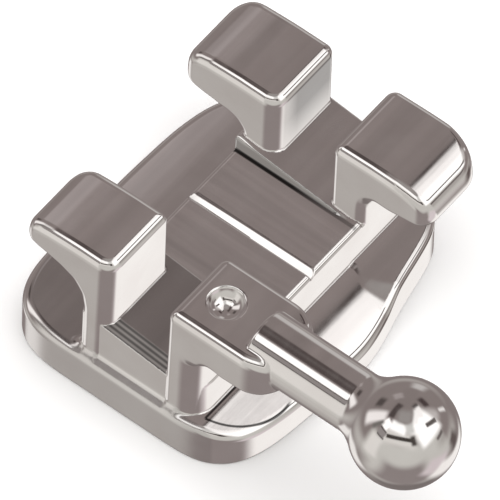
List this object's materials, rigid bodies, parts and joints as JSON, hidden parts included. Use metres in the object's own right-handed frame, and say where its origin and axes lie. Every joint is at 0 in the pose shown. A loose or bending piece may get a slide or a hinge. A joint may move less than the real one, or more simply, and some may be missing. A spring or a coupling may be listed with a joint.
{
  "type": "orthodontic bracket",
  "caption": "Polished twin tie-wing orthodontic bracket on a curved-outline bonding pad, with an archwire slot, a cross channel and a ball-ended hook on one wing.",
  "frame": {"origin": "on the bonding face, in the middle of its central retention stud, which is the middle of the pad along and across the slot", "axes": "+Z away from the tooth, +Y along the archwire slot towards the end without the hook, +X across the slot in the direction that the hook points"},
  "size_m": [0.0041, 0.003, 0.0019],
  "materials": {
    "polished_steel": "mirror polished, with faint brushing along the slot on the wing tops"
  },
  "bodies": {
    "root": {"bracket_body": "polished_steel"}
  },
  "joints": []
}
